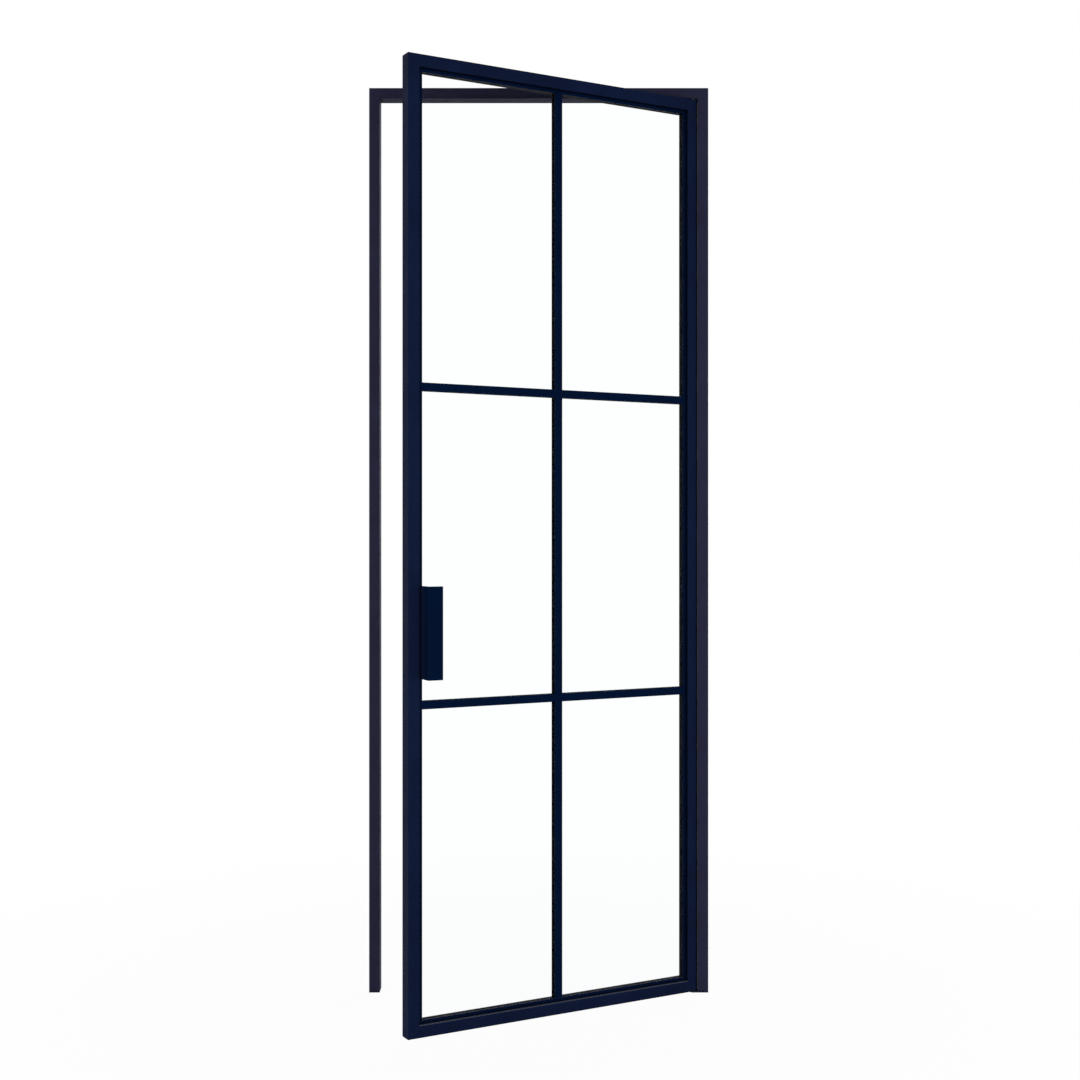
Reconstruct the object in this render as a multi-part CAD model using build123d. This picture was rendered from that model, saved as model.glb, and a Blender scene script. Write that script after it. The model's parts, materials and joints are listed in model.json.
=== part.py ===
from build123d import *
import os

# Steel interior door with its frame: one glazed leaf on pivots in a three-sided frame.
# Millimetres, Z up. The origin is on the floor, half way across the doorway, in the frame's front plane.
# The hinge side is at +X. The front, to which the leaf opens, is towards -Y.

# Frame
frame_width = 900.0
frame_height = 2400.0
frame_face = 28.0
frame_depth = 46.0
frame_wall = 2.0
frame_edge_radius = 1.5
foot_plate_thickness = 2.0

# Gaps round the closed leaf
side_gap = 3.5
top_gap = 2.5
floor_gap = 3.0

# Leaf
leaf_thickness = 36.0
leaf_face = 30.0
leaf_wall = 2.0
leaf_edge_radius = 1.5
open_angle = 28.8

# Glazing, from the leaf's front face inwards
bead_face = 10.0
bead_setback = 8.0
bead_depth = 6.0
gasket_thickness = 1.0
glass_thickness = 6.0
glass_edge_gap = 5.0
block_length = 80.0
block_corner_distance = 120.0
block_play = 0.2

# Glazing bars
bar_face = 20.0
bar_end_gap = 0.2
lap_play = 0.1
tape_width = 16.0
tape_end_gap = 0.3

# Pulls
pull_length = 224.0
pull_centre_height = 978.0
pull_root = 33.0
pull_base_thickness = 3.0
pull_sheet = 2.0
pull_bend_radius = 2.5
pull_reach = 50.0
pull_step = 26.0
pull_lap = 6.0
pull_grip_width = 37.5
pull_screw_pitch = 160.0
seat_gap = 0.3

# Pivots
pivot_from_edge = 9.0
pivot_from_front = 9.0
pin_radius = 4.0
pin_play = 0.03
pin_reach = 17.0
bush_wall = 1.0
bush_length = 20.0
bush_flange_radius = 7.5
bush_flange_thickness = 1.0
bush_play = 0.02
bush_hole_play = 0.2
pivot_block_height = 50.0
tongue_radius = 9.0
pivot_screw_radius = 5.0
pivot_screw_thread = 20.0
pivot_collar_radius = 7.0
pivot_collar_thickness = 1.2

# Corner cleats
cleat_leg = 50.0
cleat_play = 0.2

# Stop and catch
stop_from_latch_jamb = 82.0
stop_width = 40.0
stop_drop = 22.0
stop_sheet = 2.0
stop_front = 1.0
magnet_width = 22.0
magnet_height = 15.0
buffer_thickness = 1.0
catch_gap = 0.3

# Fixing holes for the wall
fixing_radius = 3.25
jamb_fixing_inset = 200.0
head_fixing_inset = 200.0

# Countersunk screws: shank radius, head radius, length
pull_screw = (2.0, 3.6, 13.0)
stop_screw = (2.0, 3.6, 8.0)
screw_play = 0.1

# Sizes that follow
doorway_half = frame_width / 2 - frame_face
doorway_height = frame_height - frame_face
leaf_width = 2 * (doorway_half - side_gap)
leaf_height = doorway_height - top_gap - floor_gap
stop_near = bead_setback
stop_far = stop_near + bead_depth
glass_near = stop_far + gasket_thickness
glass_far = glass_near + glass_thickness
bead_near = glass_far + gasket_thickness
bead_far = bead_near + bead_depth
bead_inset = leaf_face + bead_face
glass_inset = leaf_face + glass_edge_gap
bush_radius = pin_radius + bush_wall
pivot_x = doorway_half - side_gap - pivot_from_edge
pivot_y = pivot_from_front
pivot_u = leaf_width - pivot_from_edge

TO_LATCH = Rot(0, -90, 0)
TO_HINGE = Rot(0, 90, 0)


# Basic shapes


def block(x, y, z):
    """A box from three (low, high) pairs."""
    size = [high - low for low, high in (x, y, z)]
    return Pos(x[0], y[0], z[0]) * Box(*size, align=(Align.MIN, Align.MIN, Align.MIN))


def rod(radius, low, high):
    """A round bar on the Z axis."""
    return Pos(0, 0, low) * Cylinder(radius, high - low, align=(Align.CENTER, Align.CENTER, Align.MIN))


def elevation(points, near, far):
    """An outline seen from the front, as (x, z) points, filled from depth near to depth far."""
    face = Plane.XZ * Polygon(*points, align=None)
    return Pos(0, near, 0) * extrude(face, amount=near - far)


def tube_section(width, height, wall, radius):
    return RectangleRounded(width, height, radius) - Rectangle(width - 2 * wall, height - 2 * wall)


def upright_tube(x, y, z, wall, radius):
    width, depth = x[1] - x[0], y[1] - y[0]
    tube = extrude(tube_section(width, depth, wall, radius), amount=z[1] - z[0])
    return Pos(x[0] + width / 2, y[0] + depth / 2, z[0]) * tube


def level_tube(x, y, z, wall, radius):
    depth, height = y[1] - y[0], z[1] - z[0]
    tube = extrude(Plane.YZ * tube_section(depth, height, wall, radius), amount=x[1] - x[0])
    return Pos(x[0], y[0] + depth / 2, z[0] + height / 2) * tube


def screw(size):
    """A countersunk screw on the Z axis, its head's flat at the origin and its tip above it."""
    shank, head, length = size
    cone = Cone(head, shank, head - shank, align=(Align.CENTER, Align.CENTER, Align.MIN))
    return cone + rod(shank, 0, length)


def screw_hole(size):
    """The countersunk hole for a screw, open past the head and the tip."""
    shank, head, length = size
    shank, head = shank + screw_play, head + screw_play
    cone = Cone(head, shank, head - shank, align=(Align.CENTER, Align.CENTER, Align.MIN))
    return cone + rod(shank, 0, length + 1) + rod(head, -1, 0)


def group(solids):
    return Compound(children=[solid for part in solids for solid in part.solids()])


# Places in the leaf


def ring_outline(side, inset, face):
    """The mitred outline of one side of a rectangular ring in the leaf."""
    left, right = inset, leaf_width - inset
    low, high = inset, leaf_height - inset
    return {
        "latch": [(left, low), (left + face, low + face), (left + face, high - face), (left, high)],
        "hinge": [(right, low), (right, high), (right - face, high - face), (right - face, low + face)],
        "bottom": [(left, low), (right, low), (right - face, low + face), (left + face, low + face)],
        "top": [(left, high), (left + face, high - face), (right - face, high - face), (right, high)],
    }[side]


def in_doorway(part):
    """Moves a piece of the leaf from the leaf's own corner to its place, with the leaf open."""
    closed = Pos(side_gap - doorway_half, 0, floor_gap) * part
    return Pos(pivot_x, pivot_y, 0) * Rot(0, 0, open_angle) * Pos(-pivot_x, -pivot_y, 0) * closed


def to_rear(part):
    """The same piece on the leaf's rear, mirrored about the middle of its thickness."""
    return Pos(0, leaf_thickness, 0) * mirror(part, about=Plane.XZ)


def pull_screw_places():
    """The pull screws' places on the front, with their tips towards the latch stile."""
    middle = pull_centre_height - floor_gap
    z_places = (middle - pull_screw_pitch / 2, middle + pull_screw_pitch / 2)
    return [Pos(pull_root + pull_base_thickness, bead_setback / 2, z) * TO_LATCH for z in z_places]


def cut(part, tools):
    for tool in tools:
        part = part - tool
    return part


# Leaf frame


def leaf_member(side):
    thickness = (0, leaf_thickness)
    if side in ("latch", "hinge"):
        u = 0 if side == "latch" else leaf_width - leaf_face
        ends = (0, leaf_height)
        tube = upright_tube((u, u + leaf_face), thickness, ends, leaf_wall, leaf_edge_radius)
    else:
        z = 0 if side == "bottom" else leaf_height - leaf_face
        ends = (0, leaf_width)
        tube = level_tube(ends, thickness, (z, z + leaf_face), leaf_wall, leaf_edge_radius)
    return tube & elevation(ring_outline(side, 0, leaf_face), -1, leaf_thickness + 1)


def latch_stile():
    holes = [place * screw_hole(pull_screw) for place in pull_screw_places()]
    return cut(leaf_member("latch"), holes + [to_rear(hole) for hole in holes])


def rail(side):
    """A rail with the hole that a pivot bush passes through."""
    z = 0 if side == "bottom" else leaf_height
    hole = rod(bush_radius + bush_hole_play, -2 * leaf_wall, 2 * leaf_wall)
    return leaf_member(side) - Pos(pivot_u, pivot_from_front, z) * hole


# Glazing


def front_stop(side):
    return elevation(ring_outline(side, leaf_face, bead_face), stop_near, stop_far)


def rear_bead(side):
    return elevation(ring_outline(side, leaf_face, bead_face), bead_near, bead_far)


def glass_pane():
    return block(
        (glass_inset, leaf_width - glass_inset),
        (glass_near, glass_far),
        (glass_inset, leaf_height - glass_inset),
    )


def gasket(near):
    """A rubber ring between the glass and the beads, flush with their inner edges."""
    far = near + gasket_thickness
    outer = block(
        (glass_inset, leaf_width - glass_inset),
        (near, far),
        (glass_inset, leaf_height - glass_inset),
    )
    inner = block(
        (bead_inset, leaf_width - bead_inset),
        (near - 1, far + 1),
        (bead_inset, leaf_height - bead_inset),
    )
    return outer - inner


def glass_blocks():
    """The blocks that carry the glass at its foot, and those that hold it at its sides and top."""
    depth = (stop_far + block_play, bead_near - block_play)
    low = (leaf_face, glass_inset)
    near_corner = (block_corner_distance, block_corner_distance + block_length)

    def far_end(span, total):
        return (total - span[1], total - span[0])

    across = [near_corner, far_end(near_corner, leaf_width)]
    upright = [near_corner, far_end(near_corner, leaf_height)]
    setting = [block(x, depth, low) for x in across]
    edges = [block(x, depth, far_end(low, leaf_height)) for x in across]
    edges += [block(low, depth, z) for z in upright]
    edges += [block(far_end(low, leaf_width), depth, z) for z in upright]
    return group(setting), group(edges)


# Glazing bars


def level_bar_centres():
    """Heights in the leaf that leave three panes of equal height."""
    pane = (leaf_height - 2 * bead_inset - 2 * bar_face) / 3
    lower = bead_inset + pane + bar_face / 2
    return lower, lower + pane + bar_face


def upright_bar():
    """The upright bar, halved from behind where the level bars cross it."""
    middle = leaf_width / 2
    x = (middle - bar_face / 2, middle + bar_face / 2)
    ends = (bead_inset + bar_end_gap, leaf_height - bead_inset - bar_end_gap)
    bar = block(x, (stop_near, stop_far), ends)
    lap = (stop_near + bead_depth / 2, stop_far + 1)
    reach = bar_face / 2 + lap_play
    return cut(bar, [block((x[0] - 1, x[1] + 1), lap, (z - reach, z + reach)) for z in level_bar_centres()])


def level_bar(z):
    """A level bar, halved from the front where the upright bar crosses it."""
    ends = (bead_inset + bar_end_gap, leaf_width - bead_inset - bar_end_gap)
    height = (z - bar_face / 2, z + bar_face / 2)
    bar = block(ends, (stop_near, stop_far), height)
    middle, reach = leaf_width / 2, bar_face / 2 + lap_play
    lap = (stop_near - 1, stop_near + bead_depth / 2)
    return bar - block((middle - reach, middle + reach), lap, (height[0] - 1, height[1] + 1))


def bar_tape():
    """Strips of tape between the bars and the glass."""
    middle, half = leaf_width / 2, tape_width / 2
    depth = (stop_far, glass_near)
    low, high = bead_inset + tape_end_gap, leaf_height - bead_inset - tape_end_gap
    strips = [block((middle - half, middle + half), depth, (low, high))]
    left = (bead_inset + tape_end_gap, middle - half - tape_end_gap)
    right = (leaf_width - left[1], leaf_width - left[0])
    for z in level_bar_centres():
        strips += [block(x, depth, (z - half, z + half)) for x in (left, right)]
    return group(strips)


# Pulls


def pull_heights():
    middle = pull_centre_height - floor_gap
    return middle - pull_length / 2, middle + pull_length / 2


def pull_base():
    """The bar that stands out from the latch stile and carries the grip, with its foot in the rebate."""
    heights = pull_heights()
    inner = bead_setback - seat_gap
    bar = block((pull_root, pull_root + pull_base_thickness), (-pull_step - pull_lap, inner), heights)
    foot = block((leaf_face, pull_root), (seat_gap, inner), heights)
    return cut(bar + foot, [place * screw_hole(pull_screw) for place in pull_screw_places()])


def pull_grip():
    """The folded sheet: one flange lies on the base, the other is what the hand pulls."""
    low, high = pull_heights()
    left = pull_root - pull_sheet
    flange = block((left, pull_root), (-pull_reach, -pull_step), (low, high))
    plate = block((left, left + pull_grip_width), (-pull_reach, pull_sheet - pull_reach), (low, high))
    sheet = flange + plate
    middle = (low + high) / 2
    outside = sheet.edges().filter_by(Axis.Z).sort_by_distance((left, -pull_reach, middle))[0]
    sheet = fillet(outside, pull_bend_radius)
    corner = (pull_root, pull_sheet - pull_reach, middle)
    inside = sheet.edges().filter_by(Axis.Z).sort_by_distance(corner)[0]
    return fillet(inside, pull_bend_radius - pull_sheet)


def pull_screws():
    return [place * screw(pull_screw) for place in pull_screw_places()]


# Pivots


def bottom_pivot_block():
    """The block in the lower corner, bored for the bush."""
    gap = leaf_wall + cleat_play
    x = (leaf_width - leaf_face + gap, leaf_width - gap)
    body = block(x, (gap, leaf_thickness - gap), (gap, leaf_wall + pivot_block_height))
    bore = rod(bush_radius + bush_play, 0, bush_length + bush_play)
    return body - Pos(pivot_u, pivot_from_front, 0) * bore


def bottom_bush():
    """A flanged bush: the flange carries the leaf on the foot plate."""
    bush = rod(bush_radius, 0, bush_length) + rod(bush_flange_radius, -bush_flange_thickness, 0)
    bush = bush - rod(pin_radius, -bush_flange_thickness - 1, bush_length + 1)
    return Pos(pivot_u, pivot_from_front, 0) * bush


def to_top(part):
    """The same piece at the leaf's top, mirrored about the middle of its height."""
    return Pos(0, 0, leaf_height) * mirror(part, about=Plane.XY)


def bottom_pivot_pin():
    return Pos(pivot_x, pivot_y, 0) * rod(pin_radius - pin_play, 0, floor_gap + pin_reach)


def top_pivot_screw():
    """A pivot that is screwed up into the cleat: thread, collar and plain pin."""
    collar = doorway_height - pivot_collar_thickness
    pin_end = doorway_height - top_gap - pin_reach
    pin = rod(pin_radius - pin_play, pin_end, collar)
    pin = pin + rod(pivot_collar_radius, collar, doorway_height)
    pin = pin + rod(pivot_screw_radius, doorway_height, doorway_height + pivot_screw_thread)
    return Pos(pivot_x, pivot_y, 0) * pin


# Frame


def hinge_jamb():
    half = frame_width / 2
    outline = [
        (doorway_half, 0),
        (half, 0),
        (half, frame_height),
        (doorway_half, doorway_height),
    ]
    height = (foot_plate_thickness, frame_height)
    tube = upright_tube((doorway_half, half), (0, frame_depth), height, frame_wall, frame_edge_radius)
    tube = tube & elevation(outline, -1, frame_depth + 1)
    hole = TO_HINGE * rod(fixing_radius, doorway_half - 1, half + 1)
    fixings = (jamb_fixing_inset, frame_height / 2, frame_height - jamb_fixing_inset)
    return cut(tube, [Pos(0, frame_depth / 2, z) * hole for z in fixings])


def to_latch(part):
    """The same piece on the latch side of the doorway."""
    return mirror(part, about=Plane.YZ)


def frame_head():
    half = frame_width / 2
    outline = [
        (-doorway_half, doorway_height),
        (doorway_half, doorway_height),
        (half, frame_height),
        (-half, frame_height),
    ]
    height = (doorway_height, frame_height)
    tube = level_tube((-half, half), (0, frame_depth), height, frame_wall, frame_edge_radius)
    tube = tube & elevation(outline, -1, frame_depth + 1)
    hole = rod(fixing_radius, doorway_height - 1, frame_height + 1)
    fixings = (head_fixing_inset - half, half - head_fixing_inset)
    holes = [Pos(x, frame_depth / 2, 0) * hole for x in fixings]
    holes.append(stop_screw_place() * screw_hole(stop_screw))
    pivot_hole = rod(pivot_screw_radius + screw_play, doorway_height - 1, doorway_height + 2 * frame_wall)
    return cut(tube, holes + [Pos(pivot_x, pivot_y, 0) * pivot_hole])


def foot_plate():
    return block((doorway_half, frame_width / 2), (0, frame_depth), (0, foot_plate_thickness))


def hinge_foot_plate():
    """The foot plate with the tongue that carries the bottom pivot pin."""
    tongue = block(
        (pivot_x, doorway_half),
        (pivot_y - tongue_radius, pivot_y + tongue_radius),
        (0, foot_plate_thickness),
    )
    end = Pos(pivot_x, pivot_y, 0) * rod(tongue_radius, 0, foot_plate_thickness)
    hole = Pos(pivot_x, pivot_y, 0) * rod(pin_radius, -1, foot_plate_thickness + 1)
    return foot_plate() + tongue + end - hole


def corner_cleat():
    """The angle inside the hinge-side mitre of the frame."""
    half = frame_width / 2
    gap = frame_wall + cleat_play
    depth = (gap, frame_depth - gap)
    top = frame_height - gap
    level = block((doorway_half - cleat_leg, half - gap), depth, (doorway_height + gap, top))
    upright = block((doorway_half + gap, half - gap), depth, (doorway_height - cleat_leg, top))
    return level + upright


def hinge_corner_cleat():
    """The cleat with the threaded bore of the top pivot."""
    bore = rod(pivot_screw_radius + bush_play, doorway_height, doorway_height + pivot_screw_thread + 1)
    return corner_cleat() - Pos(pivot_x, pivot_y, 0) * bore


# Stop and catch


def stop_centre():
    return stop_from_latch_jamb - doorway_half


def stop_screw_place():
    y = (leaf_thickness + stop_front + frame_depth - stop_sheet) / 2
    return Pos(stop_centre(), y, doorway_height - stop_sheet)


def stop_bracket():
    """The folded angle under the head that the leaf closes on."""
    x = (stop_centre() - stop_width / 2, stop_centre() + stop_width / 2)
    front = leaf_thickness + stop_front
    flange = block(x, (front, frame_depth), (doorway_height - stop_sheet, doorway_height))
    leg = block(x, (frame_depth - stop_sheet, frame_depth), (doorway_height - stop_drop, doorway_height))
    return flange + leg - stop_screw_place() * screw_hole(stop_screw)


def magnet_span():
    x = (stop_centre() - magnet_width / 2, stop_centre() + magnet_width / 2)
    low = doorway_height - stop_drop
    return x, (low, low + magnet_height)


def catch_magnet():
    x, z = magnet_span()
    near = leaf_thickness + catch_gap + buffer_thickness
    return block(x, (near, frame_depth - stop_sheet), z)


def stop_buffer():
    x, z = magnet_span()
    near = leaf_thickness + catch_gap
    return block(x, (near, near + buffer_thickness), z)


# All pieces by name


def frame_parts():
    jamb = hinge_jamb()
    return {
        "hinge_jamb": jamb,
        "latch_jamb": to_latch(jamb),
        "frame_head": frame_head(),
        "hinge_foot_plate": hinge_foot_plate(),
        "latch_foot_plate": to_latch(foot_plate()),
        "hinge_corner_cleat": hinge_corner_cleat(),
        "latch_corner_cleat": to_latch(corner_cleat()),
        "bottom_pivot_pin": bottom_pivot_pin(),
        "top_pivot_screw": top_pivot_screw(),
        "stop_bracket": stop_bracket(),
        "stop_screw": stop_screw_place() * screw(stop_screw),
        "catch_magnet": catch_magnet(),
        "stop_buffer": stop_buffer(),
    }


def leaf_parts():
    lower, upper = level_bar_centres()
    setting_blocks, edge_blocks = glass_blocks()
    front = {
        "vertical_bar": upright_bar(),
        "lower_bar": level_bar(lower),
        "upper_bar": level_bar(upper),
        "bar_tape": bar_tape(),
        "pull_base": pull_base(),
        "pull_grip": pull_grip(),
    }
    parts = {
        "latch_stile": latch_stile(),
        "hinge_stile": leaf_member("hinge"),
        "bottom_rail": rail("bottom"),
        "top_rail": rail("top"),
        "glass_pane": glass_pane(),
        "front_gasket": gasket(stop_far),
        "rear_gasket": gasket(glass_far),
        "setting_blocks": setting_blocks,
        "edge_blocks": edge_blocks,
        "pull_screws": group(pull_screws() + [to_rear(part) for part in pull_screws()]),
        "bottom_pivot_block": bottom_pivot_block(),
        "top_pivot_block": to_top(bottom_pivot_block()),
        "bottom_bush": bottom_bush(),
        "top_bush": to_top(bottom_bush()),
    }
    for side in ("latch", "hinge", "bottom", "top"):
        parts["front_stop_" + side] = front_stop(side)
        parts["rear_bead_" + side] = rear_bead(side)
    for name, part in front.items():
        parts["front_" + name] = part
        parts["rear_" + name] = to_rear(part)
    return {name: in_doorway(part) for name, part in parts.items()}


os.makedirs("parts", exist_ok=True)
for name, part in {**frame_parts(), **leaf_parts()}.items():
    export_step(part, "parts/" + name + ".step")
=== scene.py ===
import json
import math

import bmesh
import bpy
from mathutils import Matrix, Vector


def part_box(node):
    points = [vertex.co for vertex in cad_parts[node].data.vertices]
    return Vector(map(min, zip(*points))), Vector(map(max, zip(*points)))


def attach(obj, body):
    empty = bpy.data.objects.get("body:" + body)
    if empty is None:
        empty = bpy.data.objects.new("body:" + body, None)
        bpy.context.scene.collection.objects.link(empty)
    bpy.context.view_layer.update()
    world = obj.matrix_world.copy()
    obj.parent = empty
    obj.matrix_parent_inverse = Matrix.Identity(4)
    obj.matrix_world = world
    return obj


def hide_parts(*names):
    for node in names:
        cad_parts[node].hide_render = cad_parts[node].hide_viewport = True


# Dark steel door with its frame, standing open on a pale floor. Metres, Z up.

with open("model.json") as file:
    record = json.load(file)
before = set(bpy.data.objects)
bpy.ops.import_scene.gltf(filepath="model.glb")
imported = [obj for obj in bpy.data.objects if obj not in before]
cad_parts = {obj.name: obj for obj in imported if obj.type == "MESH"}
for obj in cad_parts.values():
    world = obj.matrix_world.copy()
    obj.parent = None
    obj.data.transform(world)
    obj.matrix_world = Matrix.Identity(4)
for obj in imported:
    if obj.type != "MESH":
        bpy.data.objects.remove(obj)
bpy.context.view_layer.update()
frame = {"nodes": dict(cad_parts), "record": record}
nodes = frame["nodes"]

# The leaf's place: its free lower front corner when closed, and the turn to its open rest pose
LEAF_CORNER = Vector((-0.4185, 0.0, 0.003))
LEAF_DEPTH = 0.036
PIVOT = Vector((0.4095, 0.009, 0.0))
OPEN_TURN = Matrix.Rotation(math.radians(28.8), 4, "Z")
TO_OPEN = Matrix.Translation(PIVOT) @ OPEN_TURN @ Matrix.Translation(-PIVOT)
LEAF_PLACE = TO_OPEN @ Matrix.Translation(LEAF_CORNER)

# Powder coat: linear colours of one coat in lit and shaded copies, of its rubbed edges, of painted shade in
# creases and of a painted highlight on low ledges
# The frame's tone is the lit copy. The leaf's and the bars' darker tones are painted shade, for a face
# turned from the lamps and for recessed bars and beads.
LIT_FRAME_PAINT = (0.0250, 0.0245, 0.0545)
SHADED_LEAF_PAINT = (0.0062, 0.0120, 0.0400)
SHADED_BAR_PAINT = (0.0006, 0.0065, 0.0285)
WORN_PAINT = (0.03, 0.034, 0.06)
# Painted shade for creases between pieces
PAINTED_CREASE_SHADE = (0.0006, 0.0006, 0.0018)
# Painted highlight for low upward edges and ledges
LEDGE_HIGHLIGHT_PAINT = (0.13, 0.14, 0.2)
DARK_CLOUD, PALE_CLOUD = 0.9, 1.12
PAINT_ROUGHNESS = (0.43, 0.54)
PAINT_SPECULAR = 0.015
PEEL_RELIEF = (0.22, 0.00025)
GRIT_RELIEF = (0.1, 0.0001)
EDGE_RADIUS = 0.0007
EDGE_SAMPLES = 6
EDGE_COSINES = (0.995, 0.85)
CREASE_REACH = 0.008
CREASE_SAMPLES = 8
CREASE_OPENNESS = (0.5, 0.92)

# Heights between which the painted ledge highlight strengthens, and those between which it starts
FULL_HIGHLIGHT_HEIGHTS = (0.046, 0.034)
HIGHLIGHT_START_HEIGHTS = (0.06, 0.05)

GLASS_TINT = (0.985, 0.997, 1.0, 1.0)
GLASS_IOR = 1.06

# Where a noise texture's value mostly lies, and the range of a share
NOISE_SPAN = (0.3, 0.7)
WHOLE = (0.0, 1.0)

# Socket screws
SHANK_RADIUS = 0.002
HEAD_RADIUS = 0.0036
HEAD_EASE = 0.00015
SOCKET_FLATS = 0.0025
SOCKET_DEPTH = 0.0013
THREAD_PITCH = 0.0007
THREAD_DEPTH = 0.0002
MERGE_DISTANCE = 1e-6
STOP_SCREW_LENGTH = 0.008
PULL_SCREW_LENGTH = 0.013
PULL_SCREW_HEAD = 0.036
PULL_SCREW_DEPTH = 0.004
PULL_SCREW_HEIGHTS = (0.895, 1.055)
TO_LATCH = Matrix.Rotation(math.radians(-90), 4, "Y")

# Stage: the floor's brightness to the camera rises to white between two distances from the door
FLOOR_SIZE = 60.0
FLOOR_COLOUR = (0.9, 0.9, 0.9, 1.0)
FLOOR_GLOW = 0.97
FLOOR_RISE = (0.7, 2.2)
WHITE = (1.0, 1.0, 1.0, 1.0)
AMBIENT_COLOUR = (0.93, 0.96, 1.0, 1.0)
AMBIENT = 0.07

# Lamps: name, place, size, power in watts, colour. All of them face LAMP_AIM.
LAMP_AIM = Vector((0.0, 0.0, 1.1))
LAMPS = [
    ("key", (-2.1, -4.4, 1.3), (2.2, 3.0), 70.0, (1.0, 0.98, 0.98)),
    ("front", (0.5, -5.2, 0.8), (3.0, 3.0), 122.0, (1.0, 1.0, 1.0)),
    ("right", (3.6, -2.6, 1.4), (2.2, 2.8), 22.0, (0.7, 0.95, 1.0)),
    ("side", (4.2, 0.4, 1.4), (2.0, 3.0), 12.0, (1.0, 1.0, 1.0)),
    ("top", (0.1, 0.9, 4.4), (1.0, 1.0), 15.0, (1.0, 1.0, 1.0)),
    ("rear", (2.2, 4.4, 2.2), (2.6, 2.6), 75.0, (1.0, 1.0, 1.0)),
]

CAMERA_PLACE = (0.0035, -4.067, 1.2006)
CAMERA_LENS = 51.10
CAMERA_SENSOR = 36.0
CAMERA_FAR = 100.0


# Materials


def new_material(name):
    material = bpy.data.materials.new(name)
    material.use_nodes = True
    tree = material.node_tree
    tree.nodes.clear()
    output = tree.nodes.new("ShaderNodeOutputMaterial")
    return material, tree, output


def link(tree, source, target):
    tree.links.new(source, target)


def noise(tree, place, scale, detail=3.0, roughness=0.5):
    node = tree.nodes.new("ShaderNodeTexNoise")
    node.inputs["Scale"].default_value = scale
    node.inputs["Detail"].default_value = detail
    node.inputs["Roughness"].default_value = roughness
    link(tree, place, node.inputs["Vector"])
    return node.outputs["Fac"]


def ramp(tree, source, span, result):
    """Maps source from one (low, high) pair to another."""
    node = tree.nodes.new("ShaderNodeMapRange")
    node.inputs["From Min"].default_value, node.inputs["From Max"].default_value = span
    node.inputs["To Min"].default_value, node.inputs["To Max"].default_value = result
    link(tree, source, node.inputs["Value"])
    return node.outputs["Result"]


def maths(tree, operation, first, second):
    node = tree.nodes.new("ShaderNodeMath")
    node.operation = operation
    for socket, value in zip(node.inputs, (first, second)):
        if isinstance(value, (int, float)):
            socket.default_value = value
        else:
            link(tree, value, socket)
    return node.outputs["Value"]


def mix_colours(tree, share, first, second):
    node = tree.nodes.new("ShaderNodeMix")
    node.data_type = "RGBA"
    link(tree, share, node.inputs["Factor"])
    for socket, value in ((node.inputs[6], first), (node.inputs[7], second)):
        if isinstance(value, tuple):
            socket.default_value = (*value, 1.0)
        else:
            link(tree, value, socket)
    return node.outputs[2]


def bump(tree, height, strength, distance, under=None):
    node = tree.nodes.new("ShaderNodeBump")
    node.inputs["Strength"].default_value = strength
    node.inputs["Distance"].default_value = distance
    link(tree, height, node.inputs["Height"])
    if under is not None:
        link(tree, under, node.inputs["Normal"])
    return node.outputs["Normal"]


def rounded_edges(tree):
    """The normal of softly rounded edges, and a mask that is 1 on edges and 0 on flat faces."""
    bevel = tree.nodes.new("ShaderNodeBevel")
    bevel.samples = EDGE_SAMPLES
    bevel.inputs["Radius"].default_value = EDGE_RADIUS
    geometry = tree.nodes.new("ShaderNodeNewGeometry")
    dot = tree.nodes.new("ShaderNodeVectorMath")
    dot.operation = "DOT_PRODUCT"
    link(tree, bevel.outputs["Normal"], dot.inputs[0])
    link(tree, geometry.outputs["Normal"], dot.inputs[1])
    return bevel.outputs["Normal"], ramp(tree, dot.outputs["Value"], EDGE_COSINES, WHOLE)


def upright_part(tree, vector):
    node = tree.nodes.new("ShaderNodeSeparateXYZ")
    link(tree, vector, node.inputs[0])
    return node.outputs["Z"]


def painted_ledge_highlight(tree, place, normal):
    """Painted highlight: how strongly upward edges and ledges less than about 5 cm above the floor are
    paled, as if lit from above.
    """
    height, upward = upright_part(tree, place), upright_part(tree, normal)
    low = ramp(tree, height, FULL_HIGHLIGHT_HEIGHTS, (0.35, 1.0))
    low = maths(tree, "MULTIPLY", low, ramp(tree, height, HIGHLIGHT_START_HEIGHTS, WHOLE))
    return maths(tree, "MULTIPLY", low, ramp(tree, upward, (0.25, 0.7), (0.0, 0.9)))


def painted_crease_shade(tree):
    """Painted shade: how deep a spot lies in a crease, by ambient occlusion: 1 in the corner between two
    pieces, 0 on an open face.
    """
    node = tree.nodes.new("ShaderNodeAmbientOcclusion")
    node.samples = CREASE_SAMPLES
    node.inputs["Distance"].default_value = CREASE_REACH
    return ramp(tree, node.outputs["AO"], CREASE_OPENNESS, (1.0, 0.0))


def object_place(tree):
    return tree.nodes.new("ShaderNodeTexCoord").outputs["Object"]


def new_surface(name):
    """A new material with one principled shader, and the place on the object for its textures."""
    material, tree, output = new_material(name)
    shader = tree.nodes.new("ShaderNodeBsdfPrincipled")
    link(tree, shader.outputs["BSDF"], output.inputs["Surface"])
    return material, tree, shader, object_place(tree)


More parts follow.
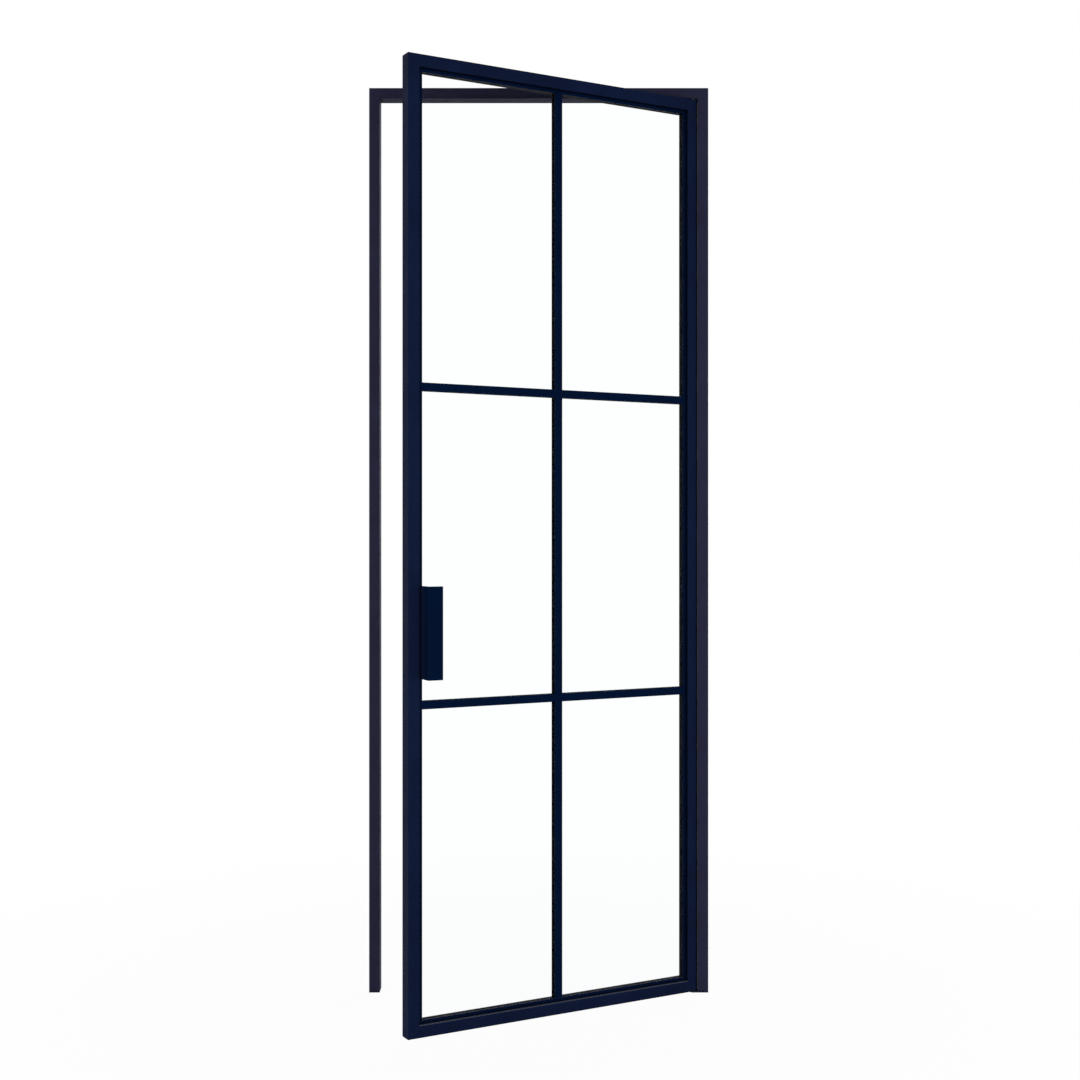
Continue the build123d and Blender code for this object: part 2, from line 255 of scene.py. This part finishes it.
def powder_coat(name, colour):
    """Satin powder coat: fine orange peel, cloudy gloss, specks of dust, slightly paler rubbed edges,
    painted shade in creases and a painted highlight on low ledges.
    """
    material, tree, shader, place = new_surface(name)
    cloud = noise(tree, place, scale=7.0, detail=4.0)
    peel = noise(tree, place, scale=900.0, detail=2.0)
    grit = noise(tree, place, scale=2600.0, detail=1.0)
    speck = noise(tree, place, scale=420.0, detail=1.0)
    wear = noise(tree, place, scale=38.0, detail=5.0, roughness=0.7)
    gloss = noise(tree, place, scale=22.0, detail=4.0, roughness=0.6)
    round_normal, edge = rounded_edges(tree)

    darker = tuple(DARK_CLOUD * c for c in colour)
    paler = tuple(PALE_CLOUD * c for c in colour)
    rubbed = maths(tree, "MULTIPLY", edge, ramp(tree, wear, (0.42, 0.68), (0.1, 0.55)))
    base = mix_colours(tree, ramp(tree, cloud, (0.35, 0.65), WHOLE), darker, paler)
    base = mix_colours(tree, ramp(tree, speck, (0.74, 0.8), (0.0, 0.2)), base, WORN_PAINT)
    base = mix_colours(tree, rubbed, base, WORN_PAINT)
    # Painted shade: creases between pieces darkened
    base = mix_colours(tree, painted_crease_shade(tree), base, PAINTED_CREASE_SHADE)
    # Painted highlight: low upward edges and ledges paled
    base = mix_colours(tree, painted_ledge_highlight(tree, place, round_normal), base, LEDGE_HIGHLIGHT_PAINT)
    link(tree, base, shader.inputs["Base Color"])

    roughness = ramp(tree, gloss, NOISE_SPAN, PAINT_ROUGHNESS)
    roughness = maths(tree, "ADD", roughness, ramp(tree, peel, NOISE_SPAN, (-0.015, 0.015)))
    link(tree, roughness, shader.inputs["Roughness"])
    shader.inputs["Specular IOR Level"].default_value = PAINT_SPECULAR
    shape = bump(tree, peel, *PEEL_RELIEF, under=round_normal)
    link(tree, bump(tree, grit, *GRIT_RELIEF, under=shape), shader.inputs["Normal"])
    return material


def grained(name, tones, clouds, cloud_span, gloss, roughness, grain, relief, metallic, specular):
    """A plain finish: clouded between two tones, with uneven gloss and a fine grain."""
    material, tree, shader, place = new_surface(name)
    cloud = ramp(tree, noise(tree, place, *clouds), cloud_span, WHOLE)
    link(tree, mix_colours(tree, cloud, *tones), shader.inputs["Base Color"])
    shader.inputs["Metallic"].default_value = metallic
    uneven = ramp(tree, noise(tree, place, *gloss), NOISE_SPAN, roughness)
    link(tree, uneven, shader.inputs["Roughness"])
    shader.inputs["Specular IOR Level"].default_value = specular
    link(tree, bump(tree, noise(tree, place, *grain), *relief), shader.inputs["Normal"])
    return material


def plated_steel(name, dull, bright):
    """Plated or blackened steel with fine turned lines and dull blotches."""
    return grained(name, (dull, bright), clouds=(260.0, 3.0), cloud_span=(0.35, 0.7),
                   gloss=(900.0, 2.0), roughness=(0.28, 0.46), grain=(3000.0, 2.0),
                   relief=(0.15, 0.0001), metallic=1.0, specular=0.5)


def cast_alloy(name, dull, bright):
    """Die-cast alloy: matt, with a fine grain."""
    return grained(name, (dull, bright), clouds=(90.0, 4.0), cloud_span=NOISE_SPAN,
                   gloss=(400.0, 2.0), roughness=(0.45, 0.62), grain=(1500.0, 3.0),
                   relief=(0.3, 0.0002), metallic=1.0, specular=0.5)


def matt(name, colour, roughness, grain, depth):
    """Rubber, foam or moulded plastic: uneven tone and a fine grain."""
    paler = tuple(1.5 * c for c in colour)
    return grained(name, (colour, paler), clouds=(60.0, 4.0), cloud_span=NOISE_SPAN,
                   gloss=(grain, 3.0), roughness=(roughness - 0.08, roughness + 0.08),
                   grain=(grain, 3.0), relief=(0.3, depth), metallic=0.0, specular=0.3)


def clear_glass(name):
    """Clear toughened glass with a very slight waviness from rolling."""
    material, tree, shader, place = new_surface(name)
    haze = noise(tree, place, scale=9.0, detail=3.0)
    waves = noise(tree, place, scale=3.0, detail=1.0)
    shader.inputs["Base Color"].default_value = GLASS_TINT
    shader.inputs["Transmission Weight"].default_value = 1.0
    shader.inputs["IOR"].default_value = GLASS_IOR
    link(tree, ramp(tree, haze, (0.45, 0.8), (0.0, 0.02)), shader.inputs["Roughness"])
    link(tree, bump(tree, waves, strength=0.02, distance=0.0005), shader.inputs["Normal"])
    return material


materials = {
    # The leaf's tone is a darker copy of the coat: painted shade
    "dark_paint": powder_coat("dark_paint", SHADED_LEAF_PAINT),
    "steel_screw": plated_steel("steel_screw", (0.42, 0.43, 0.46), (0.58, 0.58, 0.57)),
    "cast_alloy": cast_alloy("cast_alloy", (0.45, 0.46, 0.48), (0.6, 0.61, 0.62)),
    "clear_glass": clear_glass("clear_glass"),
    "black_rubber": matt("black_rubber", (0.012, 0.012, 0.013), 0.62, 900.0, 0.0001),
    "foam_tape": matt("foam_tape", (0.016, 0.016, 0.018), 0.85, 1500.0, 0.0003),
    "black_plastic": matt("black_plastic", (0.02, 0.02, 0.022), 0.5, 1200.0, 0.0001),
    "bush_plastic": matt("bush_plastic", (0.022, 0.022, 0.024), 0.5, 800.0, 0.0001),
}
# Lit copy of the coat for the frame, and a darker copy, painted shade, for bars and beads
lit_frame_paint = powder_coat("dark_paint_lit_frame", LIT_FRAME_PAINT)
shaded_bar_paint = powder_coat("dark_paint_shaded_bars", SHADED_BAR_PAINT)
pivot_steel = plated_steel("blackened_steel", (0.03, 0.032, 0.036), (0.05, 0.051, 0.054))

BAR_NAMES = ("_bar", "_pull_grip", "_stop_", "_bead_")
FRAME_NAMES = ("jamb", "foot_plate", "frame_head", "stop_bracket")


def finish_of(name, slot_name):
    """The pivots are blackened. The coat has a lit copy on the frame and darker copies, painted shade, on
    flat bars and on tubes.
    """
    if name in ("top_pivot_screw", "bottom_pivot_pin"):
        return pivot_steel
    if slot_name == "dark_paint" and any(part in name for part in BAR_NAMES):
        return shaded_bar_paint
    if slot_name == "dark_paint" and any(part in name for part in FRAME_NAMES):
        return lit_frame_paint
    return materials[slot_name]


for row in frame["record"]["subparts"]:
    node = nodes[row["node"]]
    if not node.material_slots:
        node.data.materials.append(None)
    for material_slot in node.material_slots:
        material_slot.material = finish_of(row["node"], row["material_slot"])


# Small pieces


def rotor(bm, rings, place, sides=24):
    """Skins a stack of rings, each (radius, height), and closes both ends. A radius may go by angle."""
    loops = []
    for radius, height in rings:
        loop = []
        for i in range(sides):
            angle = 2 * math.pi * i / sides
            r = radius(angle) if callable(radius) else radius
            spot = Vector((r * math.cos(angle), r * math.sin(angle), height))
            loop.append(bm.verts.new(place @ spot))
        loops.append(loop)
    for lower, upper in zip(loops, loops[1:]):
        for i in range(sides):
            j = (i + 1) % sides
            bm.faces.new((lower[i], lower[j], upper[j], upper[i]))
    for loop, height in ((loops[0], rings[0][1]), (loops[-1], rings[-1][1])):
        middle = bm.verts.new(place @ Vector((0, 0, height)))
        for i in range(sides):
            bm.faces.new((loop[i], loop[(i + 1) % sides], middle))


def hexagon(flats):
    """The radius, by angle, of a hexagon of this width across its flats."""
    def radius(angle):
        return flats / 2 / math.cos((angle + math.pi / 6) % (math.pi / 3) - math.pi / 6)
    return radius


def socket_screw(bm, place, length):
    """A countersunk screw with a hexagon socket and rolled threads, its head's flat at the origin."""
    socket = hexagon(SOCKET_FLATS)
    rings = [
        (socket, SOCKET_DEPTH),
        (socket, 0.0),
        (HEAD_RADIUS - HEAD_EASE, 0.0),
        (HEAD_RADIUS, HEAD_EASE),
        (SHANK_RADIUS, HEAD_RADIUS - SHANK_RADIUS),
    ]
    height = rings[-1][1] + THREAD_PITCH
    while height < length - 2 * THREAD_PITCH:
        rings += [(SHANK_RADIUS - THREAD_DEPTH, height), (SHANK_RADIUS, height + THREAD_PITCH / 2)]
        height += THREAD_PITCH
    rings.append((SHANK_RADIUS / 2, length))
    rotor(bm, rings, place)


def add_piece(name, bm, slot_name, body, *replaced):
    """Makes a piece of the scene from a mesh: it moves with body and stands in for CAD nodes."""
    bmesh.ops.remove_doubles(bm, verts=bm.verts, dist=MERGE_DISTANCE)
    bmesh.ops.recalc_face_normals(bm, faces=bm.faces)
    mesh = bpy.data.meshes.new(name)
    bm.to_mesh(mesh)
    bm.free()
    piece = bpy.data.objects.new(name, mesh)
    bpy.context.scene.collection.objects.link(piece)
    mesh.materials.append(materials[slot_name])
    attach(piece, body)
    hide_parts(*replaced)


screws = bmesh.new()
for depth in (PULL_SCREW_DEPTH, LEAF_DEPTH - PULL_SCREW_DEPTH):
    for height in PULL_SCREW_HEIGHTS:
        head = Matrix.Translation((PULL_SCREW_HEAD, depth, height)) @ TO_LATCH
        socket_screw(screws, LEAF_PLACE @ head, PULL_SCREW_LENGTH)
add_piece("pull_socket_screws", screws, "steel_screw", "leaf", "pull_screws")

low, high = (Vector(corner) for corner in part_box("stop_screw"))
middle = (low + high) / 2
screw = bmesh.new()
socket_screw(screw, Matrix.Translation((middle.x, middle.y, low.z)), STOP_SCREW_LENGTH)
add_piece("stop_socket_screw", screw, "steel_screw", "frame", "stop_screw")


# Stage


def looked_at(tree):
    """1 for rays of the camera, a reflection or glass before any diffuse bounce, and 0 for the rest."""
    path = tree.nodes.new("ShaderNodeLightPath")
    seen = maths(tree, "MAXIMUM", path.outputs["Is Camera Ray"], path.outputs["Is Transmission Ray"])
    seen = maths(tree, "MAXIMUM", seen, path.outputs["Is Glossy Ray"])
    return maths(tree, "MULTIPLY", seen, maths(tree, "LESS_THAN", path.outputs["Diffuse Depth"], 0.5))


def white_floor():
    """A pale matt floor that keeps the door's shadow and shows as white further out."""
    mesh = bpy.data.meshes.new("floor")
    half = FLOOR_SIZE / 2
    corners = [(-half, -half, 0), (half, -half, 0), (half, half, 0), (-half, half, 0)]
    mesh.from_pydata(corners, [], [(0, 1, 2, 3)])
    floor = bpy.data.objects.new("floor", mesh)
    bpy.context.scene.collection.objects.link(floor)
    material, tree, output = new_material("floor")
    diffuse = tree.nodes.new("ShaderNodeBsdfDiffuse")
    diffuse.inputs["Color"].default_value = FLOOR_COLOUR
    glow = tree.nodes.new("ShaderNodeEmission")
    glow.inputs["Color"].default_value = WHITE
    away = tree.nodes.new("ShaderNodeVectorMath")
    away.operation = "LENGTH"
    link(tree, object_place(tree), away.inputs[0])
    share = ramp(tree, away.outputs["Value"], FLOOR_RISE, (FLOOR_GLOW, 1.0))
    seen = maths(tree, "MULTIPLY", looked_at(tree), share)
    mixed = tree.nodes.new("ShaderNodeMixShader")
    link(tree, seen, mixed.inputs[0])
    link(tree, diffuse.outputs["BSDF"], mixed.inputs[1])
    link(tree, glow.outputs["Emission"], mixed.inputs[2])
    link(tree, mixed.outputs["Shader"], output.inputs["Surface"])
    mesh.materials.append(material)


def white_world():
    """White to look at, and a weak even light on the door."""
    world = bpy.data.worlds.new("studio")
    bpy.context.scene.world = world
    world.use_nodes = True
    tree = world.node_tree
    tree.nodes.clear()
    output = tree.nodes.new("ShaderNodeOutputWorld")
    ambient = tree.nodes.new("ShaderNodeBackground")
    ambient.inputs["Color"].default_value = AMBIENT_COLOUR
    ambient.inputs["Strength"].default_value = AMBIENT
    white = tree.nodes.new("ShaderNodeBackground")
    white.inputs["Color"].default_value = WHITE
    mixed = tree.nodes.new("ShaderNodeMixShader")
    link(tree, looked_at(tree), mixed.inputs[0])
    link(tree, ambient.outputs["Background"], mixed.inputs[1])
    link(tree, white.outputs["Background"], mixed.inputs[2])
    link(tree, mixed.outputs["Shader"], output.inputs["Surface"])


def soft_lamp(name, place, size, power, colour):
    data = bpy.data.lights.new(name, "AREA")
    data.shape = "RECTANGLE"
    data.size, data.size_y = size
    data.energy = power
    data.color = colour
    lamp = bpy.data.objects.new(name, data)
    bpy.context.scene.collection.objects.link(lamp)
    lamp.location = place
    lamp.rotation_euler = (LAMP_AIM - Vector(place)).to_track_quat("-Z", "Y").to_euler()
    lamp.visible_camera = False
    lamp.visible_transmission = False


white_floor()
white_world()
for lamp in LAMPS:
    soft_lamp(*lamp)

camera_data = bpy.data.cameras.new("camera")
camera_data.sensor_width = CAMERA_SENSOR
camera_data.lens = CAMERA_LENS
camera_data.clip_end = CAMERA_FAR
camera = bpy.data.objects.new("camera", camera_data)
camera.location = CAMERA_PLACE
camera.rotation_euler = (math.radians(90), 0, 0)
bpy.context.scene.collection.objects.link(camera)
bpy.context.scene.camera = camera
bpy.context.scene.view_settings.view_transform = "Standard"
